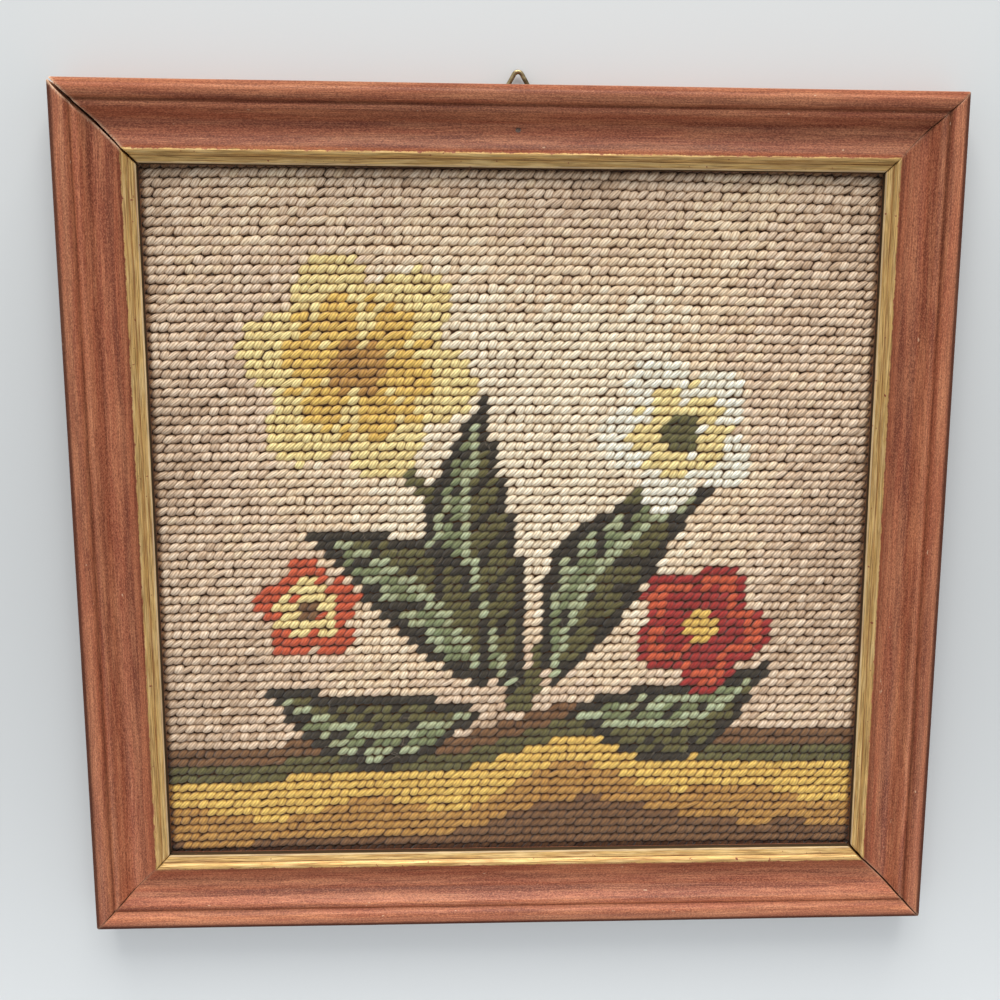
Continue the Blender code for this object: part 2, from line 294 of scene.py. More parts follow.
railValues = {  # millimetres; insets run in from the outer edge, heights rise from the back
    "frameWidth": 300.0,
    "frameHeight": 292.3,
    "railWidth": 25.6,
    "beadRadius": 3.3,
    "beadHeight": 12.9,
    "beadEnd": 40.0,  # degrees, as every angle here
    "quirk": (6.45, 13.35),
    "shoulder": (7.6, 12.0, 1.6),  # inset and height of the arc's middle, and its radius
    "shoulderStart": 118.0,
    "slopeTilt": 36.0,
    "cove": (13.6, 11.3, 3.0),
    "scoop": (13.6, 20.8, 12.5),
    "scoopSweep": 32.0,
    "giltBead": (21.75, 10.45, 1.05),
    "giltSweep": (150.0, 35.0),
    "giltGroove": (23.3, 10.0),
    "lip": (23.55, 10.2),
    "lipEdge": 9.35,
    "sightArris": 0.5,
    "backArris": 0.35,
    "rebate": (19.6, 6.2),
    "rows": 250,
    "smoothAngle": 40,
    "mitreArris": 0.16,
    "wave": 0.035,
    "face": (6.6, 8.0),  # heights between which the waves and dents come in
    "splinter": {"rail": "railLeft", "inset": 8.6, "halfWidth": 1.9, "heights": (8.6, 11.6), "depth": 0.55},
    "dentCount": 16,
    "dentPlaces": [17.0, 19.0, 23.0, 25.5],  # measured along the outline from its start
    "dentLength": (0.5, 1.8),
    "dentWidth": (0.35, 0.8),
    "dentDepth": (0.05, 0.17),
    "dentSeed": 310,
    "pocket": (21.0, 18.2, 4.3),  # width, length and depth
    "hangerX": 0.6,
}
mitreGaps = {  # millimetres open at the outer corner and at the sight
    "bottomLeft": (0.16, 0.16),
    "bottomRight": (0.35, 0.8),
    "topRight": (0.16, 0.16),
    "topLeft": (1.1, 0.6),
}
railPlan = {  # quarter turns, corner at its start, corner at its end, CAD node
    "railBottom": (0, "bottomLeft", "bottomRight", "rail_bottom"),
    "railRight": (1, "bottomRight", "topRight", "rail_right"),
    "railTop": (2, "topRight", "topLeft", "rail_top"),
    "railLeft": (3, "topLeft", "bottomLeft", "rail_left"),
}
centreY = -3.5  # the frame's middle, in millimetres


def arcPoints(inset, height, radius, start, end, steps):
    angle = np.radians(np.linspace(start, end, steps + 1))
    return np.stack([inset + radius * np.cos(angle), height + radius * np.sin(angle)], 1)


def straight(start, end, steps):
    # the points between two ends, without the ends
    share = np.linspace(0, 1, steps + 1)[1:-1, None]
    return np.array(start) * (1 - share) + np.array(end) * share


def railSection(values):
    # closed outline (inset, height) of arcs and straight lines: back corner, outer edge, bead, quirk,
    # shoulder, slope, cove, scoop, gilt bead, groove, lip, sight edge, rebate
    radius = values["beadRadius"]
    bead = arcPoints(radius, values["beadHeight"], radius, 180, values["beadEnd"], 20)
    shoulder = arcPoints(*values["shoulder"], values["shoulderStart"], values["slopeTilt"], 10)
    cove = arcPoints(*values["cove"], 180 + values["slopeTilt"], 270, 10)
    scoop = arcPoints(*values["scoop"], 270, 270 + values["scoopSweep"], 10)[1:]
    gilt = arcPoints(*values["giltBead"], *values["giltSweep"], 10)
    arris = values["sightArris"]
    railWidth = values["railWidth"]
    sight = arcPoints(railWidth - arris, values["lipEdge"] - arris, arris, 80, 0, 5)
    rebateInset, rebateHeight = values["rebate"]
    back = values["backArris"]
    parts = [
        [(back, 0.0), (0.0, back)],
        straight((0.0, back), bead[0], 6),
        bead,
        [values["quirk"]],
        shoulder,
        straight(shoulder[-1], cove[0], 5),
        cove,
        scoop,
        gilt,
        [values["giltGroove"], values["lip"]],
        straight(values["lip"], sight[0], 4),
        sight,
        straight(sight[-1], (railWidth, rebateHeight), 2),
        [(railWidth, rebateHeight)],
        straight((railWidth, rebateHeight), (rebateInset, rebateHeight), 3),
        [(rebateInset, rebateHeight)],
        straight((rebateInset, rebateHeight), (rebateInset, 0.0), 3),
        [(rebateInset, 0.0)],
        straight((rebateInset, 0.0), (back, 0.0), 5),
    ]
    return np.concatenate([np.asarray(part, float) for part in parts])


def sectionNormals(section):
    # outward normals of the outline, across the chord between each point's neighbours
    chord = np.roll(section, -1, 0) - np.roll(section, 1, 0)
    normal = np.stack([-chord[:, 1], chord[:, 0]], 1)
    return normal / np.linalg.norm(normal, axis=1, keepdims=True)


def mitreReach(inset, halfLength, gaps, values):
    # how far along the rail its mitred end lies at an inset
    gap = gaps[0] + (gaps[1] - gaps[0]) * inset / values["railWidth"]
    return halfLength - inset - gap * math.sqrt(2) / 2


def railSurface(values, index, halfLength, startGaps, endGaps, splinter):
    # the outline carried from mitre to mitre; the last ring at each end steps in by a small worn arris,
    # and a slow wave, the product of two sines, and the knocks move the face along its normals
    section = railSection(values)
    normals = sectionNormals(section)
    inset, height = section[:, 0], section[:, 1]
    low = -mitreReach(inset, halfLength, startGaps, values)
    high = mitreReach(inset, halfLength, endGaps, values)
    if splinter:  # gone from the mitre's edge
        where = np.exp(-(((inset - splinter["inset"]) / splinter["halfWidth"]) ** 4))
        low = low + splinter["depth"] * where * between(height, splinter["heights"])
    share = np.linspace(0, 1, values["rows"])
    arris = values["mitreArris"]
    rows = low + (high - low) * share[:, None]
    rows = np.concatenate([[low], [low + arris * 2.5], rows[1:-1], [high - arris * 2.5], [high]])
    drop = np.zeros(len(rows))
    drop[[0, -1]] = arris
    wave = np.sin(rows * 0.043 + index * 1.7 + inset * 0.2) * np.sin(rows * 0.017 + index)
    dents = railDents(values, index, halfLength, rows, section)
    offset = -drop[:, None] + (values["wave"] * wave - dents) * between(height, values["face"])
    points = np.stack([rows, inset + normals[:, 0] * offset, height + normals[:, 1] * offset], -1)
    count = len(section)
    sides = ringFaces(len(rows), count)
    startCap = np.arange(count)[None, ::-1]
    endCap = np.arange(count)[None] + (len(rows) - 1) * count
    return points.reshape(-1, 3), [sides, np.concatenate([startCap, endCap])]


def railDents(values, index, halfLength, rows, section):
    # seeded knocks, each a bell-shaped hollow, on the bead, quirk and shoulder; a third lie near the corners
    random = np.random.default_rng(values["dentSeed"] + index)
    step = np.linalg.norm(np.diff(section, axis=0, prepend=section[:1]), axis=1)
    travel = np.cumsum(step)
    depth = np.zeros(rows.shape)
    for count in range(values["dentCount"]):
        nearEnd = count % 3 == 0
        along = random.uniform(0.86, 0.97) * random.choice([-1, 1]) if nearEnd else random.uniform(-0.9, 0.9)
        across = random.choice(values["dentPlaces"]) + random.normal(0, 0.6)
        long = random.uniform(*values["dentLength"])
        wide = random.uniform(*values["dentWidth"])
        deep = random.uniform(*values["dentDepth"])
        field = ((rows - along * (halfLength - 18)) / long) ** 2 + ((travel - across) / wide) ** 2
        depth += deep * np.exp(-field)
    return depth


def railTurn(turns, values):
    # the frame's measure across the rail, and the cosine and sine of its quarter turns
    across = values["frameHeight"] if turns % 2 == 0 else values["frameWidth"]
    cosine, sine = [(1, 0), (0, 1), (-1, 0), (0, -1)][turns]
    return across, cosine, sine


def toPicture(points, turns, values):
    # from a rail's own place (along, inset, height) to the picture, all in millimetres
    across, cosine, sine = railTurn(turns, values)
    along, inward = points[:, 0], points[:, 1] - across / 2
    x = along * cosine - inward * sine
    y = along * sine + inward * cosine + centreY
    return np.stack([x, y, points[:, 2]], -1)


def fromPicture(points, turns, values):
    # the way back, for grain that follows the rail
    across, cosine, sine = railTurn(turns, values)
    x, y = points[:, 0], points[:, 1] - centreY
    along = x * cosine + y * sine
    inward = -x * sine + y * cosine
    return np.stack([along, inward + across / 2, points[:, 2]], -1)


def boxMesh(name, low, high):
    corners = np.indices((2, 2, 2)).reshape(3, 8).T
    points = np.array(low) + corners * (np.array(high) - np.array(low))
    faces = np.array([[0, 1, 3, 2], [4, 6, 7, 5], [0, 4, 5, 1], [2, 3, 7, 6], [0, 2, 6, 4], [1, 5, 7, 3]])
    return buildMesh(name, points * mm, [faces])


def cutAway(mesh, cutterMesh, name):
    # the mesh with the cutter's space taken out, as a new mesh
    solid = bpy.data.objects.new(name, mesh)
    cutter = bpy.data.objects.new(name + "Cutter", cutterMesh)
    for item in (solid, cutter):
        scene.collection.objects.link(item)
    modifier = solid.modifiers.new("pocket", "BOOLEAN")
    modifier.operation = "DIFFERENCE"
    modifier.solver = "EXACT"
    modifier.object = cutter
    bpy.context.view_layer.update()
    graph = bpy.context.evaluated_depsgraph_get()
    result = bpy.data.meshes.new_from_object(solid.evaluated_get(graph))
    bpy.data.objects.remove(solid)
    bpy.data.objects.remove(cutter)
    return result


def cutPocket(mesh, name, values):
    # the hollow in the top rail's back for the hanger
    width, long, deep = values["pocket"]
    past = 2.0  # how far the cutter stands out of the wood
    edgeY = centreY + values["frameHeight"] / 2
    low = (values["hangerX"] - width / 2, edgeY - long, -past)
    high = (values["hangerX"] + width / 2, edgeY + past, deep)
    mesh = cutAway(mesh, boxMesh("pocketCutter", low, high), name)
    mesh.set_sharp_from_angle(angle=math.radians(values["smoothAngle"]))
    return mesh


woodColours = {
    "dark": linearColour(126, 66, 48),
    "middle": linearColour(171, 95, 67),
    "light": linearColour(219, 149, 108),
    "stain": linearColour(66, 29, 17),
    "bare": linearColour(214, 176, 146),
    "gilt": linearColour(216, 176, 108),
    "giltDull": linearColour(146, 116, 68),
    "giltLight": linearColour(244, 214, 154),
    "bole": linearColour(128, 62, 44),
    "gesso": linearColour(206, 196, 178),
    # painted shade for the lip's inner wall below the sight arris
    "shadedWall": linearColour(44, 30, 18),
}
woodLayers = [  # effect of the grain, where it starts and where it is full, strength, colour
    ("Mottle", 0.42, 0.72, 0.65, "light"),
    ("Streaks", 0.54, 0.38, 0.60, "dark"),
    ("Streaks", 0.54, 0.72, 0.60, "light"),
    ("Pores", 0.0, 1.0, 0.50, "stain"),
    ("Fine", 0.51, 0.36, 0.52, "stain"),
    ("Fine", 0.53, 0.66, 0.40, "light"),
]
finishValues = {  # millimetres: the inset or the height where each finish starts, and where it is full
    "outside": (2.6, 1.7),
    "quirk": (6.5, 0.6, 0.1),  # the middle of a line, and the distances from it
    "groove": (23.3, 0.2, 0.06),
    "crest": (15.2, 16.1),
    "giltBorder": (20.9, 22.0),
    "giltAbove": (6.3, 6.5),
    "arrisInset": (25.05, 25.25),
    "arrisHeight": (8.95, 9.1),
    # the lip's inner wall below the arris, painted dark as shade
    "wallInset": (25.0, 25.1),
    "wallHeight": (9.0, 8.8),
}
edgeStainShadeAndSheen = {  # how dark each outer edge is stained, darker on the rails facing away from the light as painted shade, and how far it is rubbed pale again, on the top rail also as a painted highlight of the lit arris
    "railBottom": (0.88, 0.10),
    "railRight": (0.80, 0.16),
    "railTop": (0.35, 0.50),
    "railLeft": (0.80, 0.16),
}
wearAndSheenValues = {  # millimetres
    "closedMitre": 0.2,
    "openMitre": 0.25,  # more for each millimetre that the joint stands open
    "arrisReach": 0.35,
    "arrisHeight": (13.4, 0.9),
    "cornerReach": 9.0,
    "cornerWear": 0.90,
    "above": (6.4, 7.0),
}


def lineMask(tree, inset, line):
    # full on a line along the rail: the distance from the line's middle, mapped
    distance = maths(tree, "ABSOLUTE", maths(tree, "SUBTRACT", inset, line[0]))
    return remap(tree, distance, line[1], line[2])


def railMasks(tree, place, shifted, values):
    # where each finish lies on the moulding, from the inset, the height and some noise
    parts = addNode(tree, "SeparateXYZ", {0: place}).outputs
    inset, height = parts[1], parts[2]
    ragged = noise(tree, shifted, (0.20, 0.0, 0.0), 5.0, 0.75)
    border = remap(tree, ragged, 0.44, 0.68, *values["giltBorder"])
    gilt = remap(tree, maths(tree, "SUBTRACT", inset, border), -0.12, 0.20)
    gilt = maths(tree, "MULTIPLY", gilt, remap(tree, height, *values["giltAbove"]))
    chips = specks(tree, shifted, 1.8, 0.70, 0.02)
    nicks = specks(tree, stretched(tree, shifted, (0.5, 1.1, 1.1)), 2.2, 0.735, 0.012)
    arris = [remap(tree, inset, *values["arrisInset"]), remap(tree, height, *values["arrisHeight"])]
    # the lip's inner wall, where the painted shade is laid
    shadedWall = [remap(tree, inset, *values["wallInset"]), remap(tree, height, *values["wallHeight"])]
    return {
        "outside": remap(tree, inset, *values["outside"]),
        "quirk": lineMask(tree, inset, values["quirk"]),
        "groove": lineMask(tree, inset, values["groove"]),
        "crest": remap(tree, height, *values["crest"]),
        "nicks": nicks,
        "gold": maths(tree, "MULTIPLY", gilt, maths(tree, "SUBTRACT", 1.0, chips)),
        "bole": maths(tree, "MULTIPLY", gilt, chips),
        "arris": maths(tree, "MULTIPLY", *arris),
        "shadedWall": maths(tree, "MULTIPLY", *shadedWall),
    }


def woodColour(tree, shifted, grain, masks, edgeStainAndShade, colours):
    base = blend(tree, remap(tree, grain["Bands"], 0.38, 0.58), colours["dark"], colours["middle"])
    for effect, starts, full, strength, colour in woodLayers:
        base = blend(tree, remap(tree, grain[effect], starts, full, 0.0, strength), base, colours[colour])
    # the quirk is coloured darker; stain lies on the outer edge, darker on the rails facing away from the
    # light as painted shade; and it wears thin on the crest
    base = tint(tree, base, masks["quirk"], 0.4, colours["stain"])
    base = tint(tree, base, masks["crest"], 0.08, colours["light"])
    base = tint(tree, base, masks["outside"], edgeStainAndShade, colours["stain"])
    base = tint(tree, base, masks["nicks"], 0.8, colours["bare"])
    wearAndSheen = addNode(tree, "Attribute", attribute_name="wearAndSheen").outputs["Fac"]
    patchy = remap(tree, noise(tree, shifted, 1.3), 0.30, 0.50)
    return blend(tree, maths(tree, "MULTIPLY", wearAndSheen, patchy), base, colours["bare"])


def goldColour(tree, shifted, brushed, masks, colours):
    cloudy = noise(tree, shifted, (0.08, 0.9, 0.9), 3.0, 0.6)
    scratches = noise(tree, shifted, (0.045, 8.0, 8.0), 2.0, 0.5)
    gold = blend(tree, remap(tree, brushed, 0.42, 0.56), colours["giltDull"], colours["gilt"])
    gold = blend(tree, remap(tree, cloudy, 0.50, 0.68, 0.0, 0.5), gold, colours["giltLight"])
    gold = tint(tree, gold, masks["groove"], 0.4, colours["bole"])
    gold = blend(tree, remap(tree, scratches, 0.46, 0.38, 0.0, 0.6), gold, colours["bole"])
    gold = blend(tree, remap(tree, scratches, 0.56, 0.66, 0.0, 0.6), gold, colours["giltLight"])
    # the gold rubs thin on the sight edge's arris, and the wall below it is painted dark as shade
    gold = tint(tree, gold, masks["arris"], 0.3, colours["gesso"])
    return tint(tree, gold, masks["shadedWall"], 0.95, colours["shadedWall"])


def woodMaterial(name, offset, edgeStainAndShade, values, colours):
    # stained wood with grain along the rail, and brushed gilding from the small bead to the sight edge
    material, tree, shader = newMaterial(name, 0.45, {"Specular IOR Level": 0.3})
    place = addNode(tree, "Attribute", attribute_name="moulding").outputs["Vector"]
    shifted = addNode(tree, "VectorMath", {0: place, 1: (offset, 0.0, 0.0)}, operation="ADD").outputs[0]
    masks = railMasks(tree, place, shifted, values)
    grain = placeGroup(tree, grainGroup, {"Vector": shifted, "Wander": 1.0})
    brushed = noise(tree, shifted, (0.10, 5.0, 5.0), 4.0, 0.65)
    wood = woodColour(tree, shifted, grain, masks, edgeStainAndShade, colours)
    wood = blend(tree, masks["bole"], wood, colours["bole"])
    gold = goldColour(tree, shifted, brushed, masks, colours)
    tree.links.new(blend(tree, masks["gold"], wood, gold), shader.inputs["Base Color"])

    leaf = maths(tree, "SUBTRACT", 1.0, maths(tree, "MAXIMUM", masks["shadedWall"], masks["arris"]))
    metal = maths(tree, "MULTIPLY", masks["gold"], remap(tree, masks["groove"], 0.0, 1.0, 0.35, 0.2))
    tree.links.new(maths(tree, "MULTIPLY", metal, leaf), shader.inputs["Metallic"])

    woodRough = remap(tree, grain["Streaks"], 0.3, 0.7, 0.52, 0.40)
    goldRough = remap(tree, brushed, 0.3, 0.7, 0.52, 0.36)
    rough = mixValue(tree, masks["gold"], woodRough, goldRough)
    dry = maths(tree, "MAXIMUM", masks["outside"], masks["shadedWall"])  # left without polish
    tree.links.new(mixValue(tree, dry, rough, 1.0), shader.inputs["Roughness"])

    relief = maths(tree, "MULTIPLY", grain["Streaks"], 0.6)
    relief = maths(tree, "SUBTRACT", relief, maths(tree, "MULTIPLY", grain["Pores"], 0.5))
    relief = maths(tree, "SUBTRACT", relief, maths(tree, "MULTIPLY", masks["nicks"], 0.8))
    brushMarks = maths(tree, "MULTIPLY", brushed, masks["gold"])
    relief = maths(tree, "ADD", relief, maths(tree, "MULTIPLY", brushMarks, 0.9))
    addBump(tree, shader, 0.5, 0.00012, relief)
    return material


def railWearAndSheen(place, halfLength, startGaps, endGaps, rubbedAndLit, values, wearAndSheen):
    # how bare the wood is: a bell curve of the distance from each mitre, and one across the outer arris
    # that grows towards the corners and between them takes the rail's rub, on the top rail also a painted
    # highlight; none low on the flanks
    along, inset, height = place.T
    toStart = (along + mitreReach(inset, halfLength, startGaps, values)) / math.sqrt(2)
    toEnd = (mitreReach(inset, halfLength, endGaps, values) - along) / math.sqrt(2)
    nearest = np.minimum(toStart, toEnd)
    # an open joint rubs its edges bare, a closed one keeps most of its stain
    strength = np.where(toStart < toEnd, startGaps[0], endGaps[0])
    reach = wearAndSheen["closedMitre"] + wearAndSheen["openMitre"] * strength
    mitre = np.exp(-((nearest / reach) ** 2)) * np.clip(0.15 + 0.8 * strength, 0, 1)
    middle, spread = wearAndSheen["arrisHeight"]
    outer = np.exp(-((inset / wearAndSheen["arrisReach"]) ** 2)) * np.exp(-(((height - middle) / spread) ** 2))
    outer *= rubbedAndLit + (wearAndSheen["cornerWear"] - rubbedAndLit) * np.exp(-nearest / wearAndSheen["cornerReach"])
    return np.clip(mitre + outer, 0, 1) * between(height, wearAndSheen["above"])


def buildRails(values, plan, gaps):
    for index, (name, (turns, start, end, node)) in enumerate(plan.items()):
        halfLength = (values["frameWidth"] if turns % 2 == 0 else values["frameHeight"]) / 2
        splinter = values["splinter"] if name == values["splinter"]["rail"] else None
        points, faces = railSurface(values, index, halfLength, gaps[start], gaps[end], splinter)
        mesh = buildMesh(name, toPicture(points, turns, values) * mm, faces, values["smoothAngle"])
        if node == "rail_top":
            mesh = cutPocket(mesh, name, values)
        # each rail's stain and rub on its outer edge include painted shade and a painted highlight for the
        # way it faces the light
        edgeStainAndShade, rubbedAndLit = edgeStainShadeAndSheen[name]
        place = fromPicture(meshPoints(mesh) / mm, turns, values)
        pointAttribute(mesh, "moulding", place)
        wearAndSheen = railWearAndSheen(place, halfLength, gaps[start], gaps[end], rubbedAndLit, values, wearAndSheenValues)
        pointAttribute(mesh, "wearAndSheen", wearAndSheen)
        grainStart = 700.0 * index + 130.0  # no two rails show the same wood
        material = woodMaterial(name + "Wood", grainStart, edgeStainAndShade, finishValues, woodColours)
        rail = addPiece(name, mesh, material)
        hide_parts(node)
        print("rail:", name, len(mesh.polygons), "faces")


buildRails(railValues, railPlan, mitreGaps)

# Needlepoint: a canvas sheet, and wool tent stitches in one piece for each yarn

canvasValues = {  # millimetres
    "halfWidth": 130.1,
    "halfHeight": 126.25,
    "bottom": 3.5,
    "thickness": 0.9,
    "swell": 0.6,
    "swellRun": 24.0,
    "ripple": 0.12,
    "margin": 6.0,  # the part that lies under the lip
    "columns": 104,
    "rows": 100,
    "smoothAngle": 50,  # degrees
    # dark brown, as painted shade for the gaps between the stitches
    "dark": (52, 34, 20),
    "light": (96, 68, 44),
}
stitchValues = {  # millimetres and degrees
    "columns": 80,
    "rows": 78,
    "pitchX": 3.177,
    "pitchY": 3.159,
    "arch": 1.25,  # how far the rows bow up in the middle
    "slant": 51.5,
    "slantSpread": 6.5,
    "height": 3.44,
    "width": 3.30,
    "thickness": 1.9,
    "crest": 5.66,
    "dive": 0.62,  # how far the ends go down into the canvas
    "lean": 0.16,  # how far each ring tips along the row
    "press": 0.30,  # how much flatter the wool lies beside the sight edge
    "lowest": 0.25,
    # painted shade beside the sight edge: how far each stitch's tone is lowered there
    "edgeShade": 2.7,
    "fullHeight": 1.6,  # above the canvas, where the wool catches all the light
    "reach": 0.76,  # how near the end rings come to the tips
    "blunt": 4.0,
    "rings": 5,
    "sides": 8,
    "seed": 41,
}
stitchSpreads = {  # millimetres, and shares of the size
    "x": 0.13,
    "y": 0.12,
    "lift": 0.09,
    "height": 0.03,
    "width": 0.05,
    "thickness": 0.04,
}
yarnColours = {
    "beigePale": (250, 234, 206),
    "beigeWarm": (242, 218, 186),
    "beigeMauve": (232, 206, 178),
    "taupe": (210, 182, 154),
    "cream": (250, 246, 228),
    "yellowPale": (246, 224, 156),
    "golden": (232, 192, 100),
    "ochre": (190, 142, 74),
    "brown": (126, 90, 58),
    "black": (58, 50, 38),
    "olive": (104, 98, 58),
    "green": (128, 136, 96),
    "greenPale": (176, 184, 146),
    "red": (164, 50, 44),
    "orange": (206, 92, 58),
}


def edgeDistance(x, y, cloth):
    # from the sight edge inwards
    return np.minimum(cloth["halfWidth"] - np.abs(x), cloth["halfHeight"] - np.abs(y)) - cloth["margin"]


def clothHeight(x, y, values):
    # rise of the cloth from the flat: none under the lip, and in the open a soft swell and a slow ripple, the
    # product of two sines
    rise = smoothStep(edgeDistance(x, y, values) / values["swellRun"])
    ripple = np.sin(x * 0.041 + 0.7) * np.sin(y * 0.053 + 1.9)
    return values["swell"] * rise + values["ripple"] * ripple * rise


def canvasSurface(values):
    # two grids, thickness apart, joined by a band round the edge
    x = np.linspace(-values["halfWidth"], values["halfWidth"], values["columns"] + 1)
    y = np.linspace(-values["halfHeight"], values["halfHeight"], values["rows"] + 1)
    gridX, gridY = np.meshgrid(x, y, indexing="ij")
    rise = clothHeight(gridX, gridY, values)
    lower = np.stack([gridX, gridY + centreY, values["bottom"] + rise], -1).reshape(-1, 3)
    upper = lower + (0, 0, values["thickness"])
    across, down = len(x), len(y)
    column, row = np.meshgrid(np.arange(across - 1), np.arange(down - 1), indexing="ij")
    corner = (column * down + row).ravel()
    top = np.stack([corner, corner + down, corner + down + 1, corner + 1], 1) + across * down
    bottom = np.stack([corner, corner + 1, corner + down + 1, corner + down], 1)
    index = np.arange(across * down).reshape(across, down)
    rim = np.concatenate([index[:-1, 0], index[-1, :-1], index[:0:-1, -1], index[0, :0:-1]])
    after = np.roll(rim, -1)
    band = np.stack([rim, after, after + across * down, rim + across * down], 1)
    return np.concatenate([lower, upper]), [np.concatenate([top, bottom, band])]


def canvasMaterial(name, values, pitches):
    # stiff double-thread canvas, coloured dark as painted shade between the stitches: the higher of two sine
    # waves, two threads to a stitch each way
    material, tree, shader = newMaterial(name, 0.9)
    place = addNode(tree, "TexCoord").outputs["Object"]
    parts = addNode(tree, "SeparateXYZ", {0: place}).outputs
    waves = []
    for axis, pitch in enumerate(pitches):
        angle = maths(tree, "MULTIPLY", parts[axis], 2 * math.pi * 2 / (pitch * mm))
        waves.append(maths(tree, "SINE", angle))
    weave = maths(tree, "MAXIMUM", *waves)
    twoTone(tree, shader, remap(tree, weave, -0.4, 0.9), values)
    addBump(tree, shader, 0.8, 0.0003, weave)
    return material


# The chart: a garden spray of leaves and flowers on a mottled ground, worked out from formulas.
# Places and sizes are counted in stitches from the middle of the cloth, angles in degrees.

leafTable = [  # x and y where the leaf leaves the stem, angle, length, half width, bend
    {"x": 0, "y": -20, "angle": 96, "length": 34, "half": 5.6, "bend": 0.10},
    {"x": -3, "y": -19, "angle": 138, "length": 27, "half": 5.0, "bend": -0.12},
    {"x": 4, "y": -19, "angle": 52, "length": 29, "half": 5.2, "bend": 0.14},
    {"x": -4, "y": -22, "angle": 172, "length": 25, "half": 4.4, "bend": 0.16},
    {"x": 6, "y": -22, "angle": 14, "length": 24, "half": 4.6, "bend": -0.18},
]
flowerTable = [  # x, y, radius, petals, turn, and the yarns of rim, petal, inner petal and eye
    {
        "x": -17, "y": 17, "radius": 13.0, "petals": 6, "turn": 12,
        "yarns": ("yellowPale", "yellowPale", "golden", "ochre"),
    },
    {
        "x": 18, "y": 10, "radius": 9.0, "petals": 5, "turn": 30,
        "yarns": ("cream", "cream", "yellowPale", "olive"),
    },
    {
        "x": 21, "y": -12, "radius": 8.0, "petals": 5, "turn": 8,
        "yarns": ("red", "orange", "red", "golden"),
    },
    {
        "x": -23, "y": -10, "radius": 6.0, "petals": 5, "turn": 50,
        "yarns": ("orange", "orange", "yellowPale", "brown"),
    },
]
stemTable = [  # from the foot to the flower, with a sideways bow
    {"start": (0, -22), "end": (-17, 12), "bow": 4},
    {"start": (1, -22), "end": (18, 8), "bow": -3},
]


def groundChart(x, y, random):
    # mottled beige, lighter towards the middle, over a mound of gold, ochre and brown
    wander = np.sin(x * 0.11 + 1.3) * np.cos(y * 0.09 - 0.4) + 0.5 * np.sin(x * 0.23 - y * 0.17 + 2.0)
    light = np.exp(-((x / 30) ** 2 + ((y - 8) / 27) ** 2)) + 0.16 * wander + random.normal(0, 0.07, x.shape)
    names = np.full(x.shape, "beigePale", dtype=object)
    names[light < 0.60] = "beigeWarm"
    names[light < 0.34] = "beigeMauve"
    names[light < 0.13] = "taupe"
    mound = -27 + 2.2 * np.sin(x * 0.085 + 0.6) + 1.0 * np.sin(x * 0.21)
    names[y < mound + 3] = "brown"
    names[y < mound + 1] = "olive"
    names[y < mound - 1] = "golden"
    names[y < mound - 5 + np.sin(x * 0.3)] = "ochre"
    names[y < mound - 8.5] = "brown"
    return names


def paintLeaf(names, x, y, leaf):
    # a leaf's half width is a sine of the way along it; the middle line bends as a half sine
    angle = math.radians(leaf["angle"])
    along = ((x - leaf["x"]) * math.cos(angle) + (y - leaf["y"]) * math.sin(angle)) / leaf["length"]
    across = -(x - leaf["x"]) * math.sin(angle) + (y - leaf["y"]) * math.cos(angle)
    way = np.clip(along, 0, 1)
    across = across - leaf["bend"] * leaf["length"] * np.sin(way * math.pi)
    half = leaf["half"] * np.sin(math.pi * way ** 0.85) + 1e-6
    inside = (along > 0) & (along < 1) & (np.abs(across) < half)
    names[inside] = "black"
    body = inside & (np.abs(across) < half - 1.1)
    names[body & (across >= 0)] = "green"
    names[body & (across < 0)] = "olive"
    names[body & (across > 0.45 * half) & (way > 0.25) & (way < 0.7)] = "greenPale"
    vein = body & (np.abs(across) < 0.55)
    names[vein] = "greenPale"
    side = np.abs(np.sin((way * leaf["length"] - np.abs(across)) * 0.75)) > 0.93
    names[body & side & ~vein] = "black"


def paintFlower(names, x, y, flower):
    # petals: the radius swings with the angle as the absolute value of a cosine
    dx, dy = x - flower["x"], y - flower["y"]
    angle = np.arctan2(dy, dx) + math.radians(flower["turn"])
    swing = np.abs(np.cos(angle * flower["petals"] / 2))
    share = np.hypot(dx, dy) / (flower["radius"] * (0.66 + 0.34 * swing))
    rim, petal, inner, eye = flower["yarns"]
    names[share < 1.0] = rim
    names[share < 0.86] = petal
    names[(share < 0.62) & (swing > 0.35)] = inner
    names[(share < 0.95) & (swing < 0.16) & (share > 0.3)] = inner
    names[share < 0.26] = eye


def paintStem(names, x, y, start, end, bow):
    # a stem leans from start to end, bowed sideways by a half sine
    way = (y - start[1]) / (end[1] - start[1])
    middle = start[0] + (end[0] - start[0]) * way + bow * np.sin(np.clip(way, 0, 1) * math.pi)
    names[(way > 0) & (way < 1) & (np.abs(x - middle) < 0.9)] = "olive"


def chartYarns(values):
    columns, rows = values["columns"], values["rows"]
    random = np.random.default_rng(values["seed"])
    column, row = np.meshgrid(np.arange(columns), np.arange(rows), indexing="ij")
    x, y = column - (columns - 1) / 2, row - (rows - 1) / 2
    names = groundChart(x, y, random)
    for stem in stemTable:
        paintStem(names, x, y, **stem)
    for leaf in leafTable:
        paintLeaf(names, x, y, leaf)
    for flower in flowerTable:
        paintFlower(names, x, y, flower)
    return names


